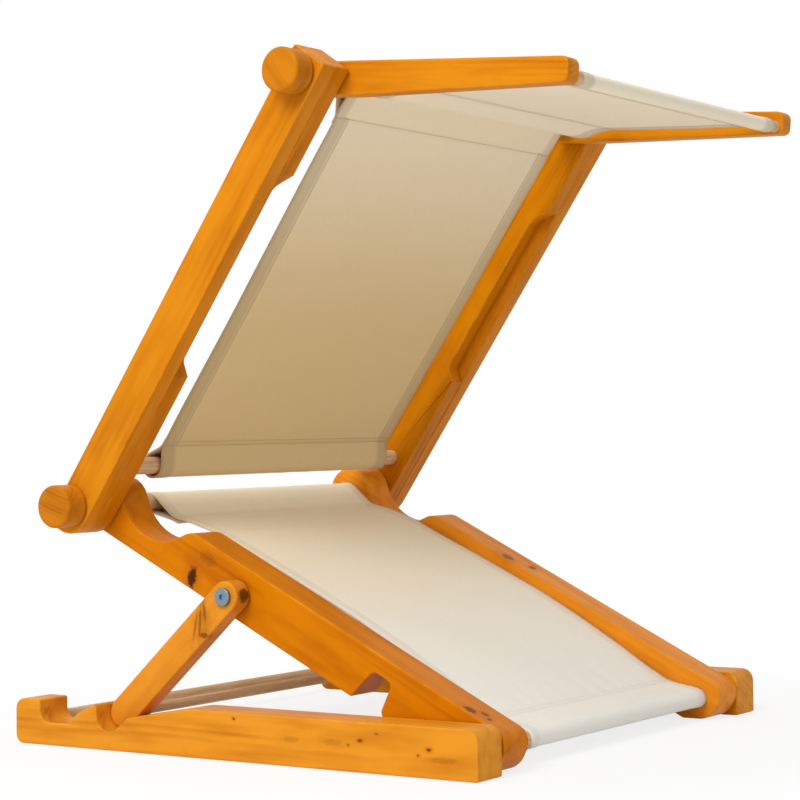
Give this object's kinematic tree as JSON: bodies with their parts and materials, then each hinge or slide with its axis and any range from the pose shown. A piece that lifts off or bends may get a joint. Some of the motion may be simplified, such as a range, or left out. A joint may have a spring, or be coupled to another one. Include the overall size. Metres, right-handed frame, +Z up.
{
  "type": "folding beach lounger",
  "caption": "Low folding pine beach lounger: ground rails, a propped sling panel, and a tilting sun hood with a hinged front flap, clamped by two wooden knobs.",
  "frame": {"origin": "on the ground, under the middle of the overall width and length", "axes": "+Z up; the front edge, where the legs go, faces -Y; the width runs along X"},
  "size_m": [0.68, 0.7206, 0.77],
  "materials": {
    "varnished_pine": "satin varnish",
    "raw_wood": "bare wood",
    "canvas": "plain woven canvas",
    "zinc_steel": "zinc plated",
    "insert_steel": "plated",
    "washer_fibre": "matt"
  },
  "bodies": {
    "base": {"base_rail_left": "varnished_pine", "base_rail_right": "varnished_pine", "base_cross_dowel": "raw_wood"},
    "panel": {"panel_rail_left": "varnished_pine", "panel_rail_right": "varnished_pine", "sling_dowel_rear": "raw_wood", "sling_dowel_front": "raw_wood", "sling_cloth": "canvas", "strut_bolts": "zinc_steel", "strut_washers": "washer_fibre", "strut_inserts": "insert_steel", "hood_hinge_inserts": "insert_steel", "hood_hinge_washers": "washer_fibre", "front_hinge_washers": "washer_fibre", "hood_bolt": "zinc_steel"},
    "struts": {"strut_left": "varnished_pine", "strut_right": "varnished_pine", "strut_dowel": "raw_wood"},
    "hood": {"hood_outer_board_left": "varnished_pine", "hood_outer_board_right": "varnished_pine", "hood_inner_board_left": "varnished_pine", "hood_inner_board_right": "varnished_pine", "hood_low_dowel": "raw_wood", "hood_cloth": "canvas", "flap_hinge_washers": "washer_fibre"},
    "flap": {"flap_arm_left": "varnished_pine", "flap_arm_right": "varnished_pine", "flap_hinge_dowel": "raw_wood", "flap_front_dowel": "raw_wood", "flap_cloth": "canvas", "flap_hinge_inserts": "insert_steel", "flap_bolt": "zinc_steel"},
    "hood_clamp": {"hood_knob": "varnished_pine", "hood_stud": "zinc_steel", "hood_knob_washer": "washer_fibre"},
    "flap_clamp": {"flap_knob": "varnished_pine", "flap_stud": "zinc_steel", "flap_knob_washer": "washer_fibre"}
  },
  "joints": [
    {"name": "recline", "type": "hinge", "parent": "base", "child": "panel", "pos_m": [0.01348, -0.24518, 0.026], "axis": [1, 0, 0], "range_deg": [0, 64]},
    {"name": "strut_swing", "type": "hinge", "parent": "panel", "child": "struts", "pos_m": [0.01348, 0.0704, 0.17485], "axis": [1, 0, 0], "range_deg": [-112, 0]},
    {"name": "hood_tilt", "type": "hinge", "parent": "panel", "child": "hood", "pos_m": [0.01348, 0.27131, 0.27413], "axis": [1, 0, 0], "range_deg": [-99, 53]},
    {"name": "flap_tilt", "type": "hinge", "parent": "hood", "child": "flap", "pos_m": [0.01348, -0.05448, 0.7394], "axis": [1, 0, 0], "range_deg": [-59, 118]},
    {"name": "hood_knob_turn", "type": "hinge", "parent": "panel", "child": "hood_clamp", "pos_m": [-0.32453, 0.27131, 0.27413], "axis": [1, 0, 0], "continuous": true},
    {"name": "flap_knob_turn", "type": "hinge", "parent": "flap", "child": "flap_clamp", "pos_m": [-0.32453, -0.05448, 0.7394], "axis": [1, 0, 0], "continuous": true}
  ],
  "couplings": [
    {"joint": "strut_swing", "follows": "recline", "ratio": -1.74}
  ]
}
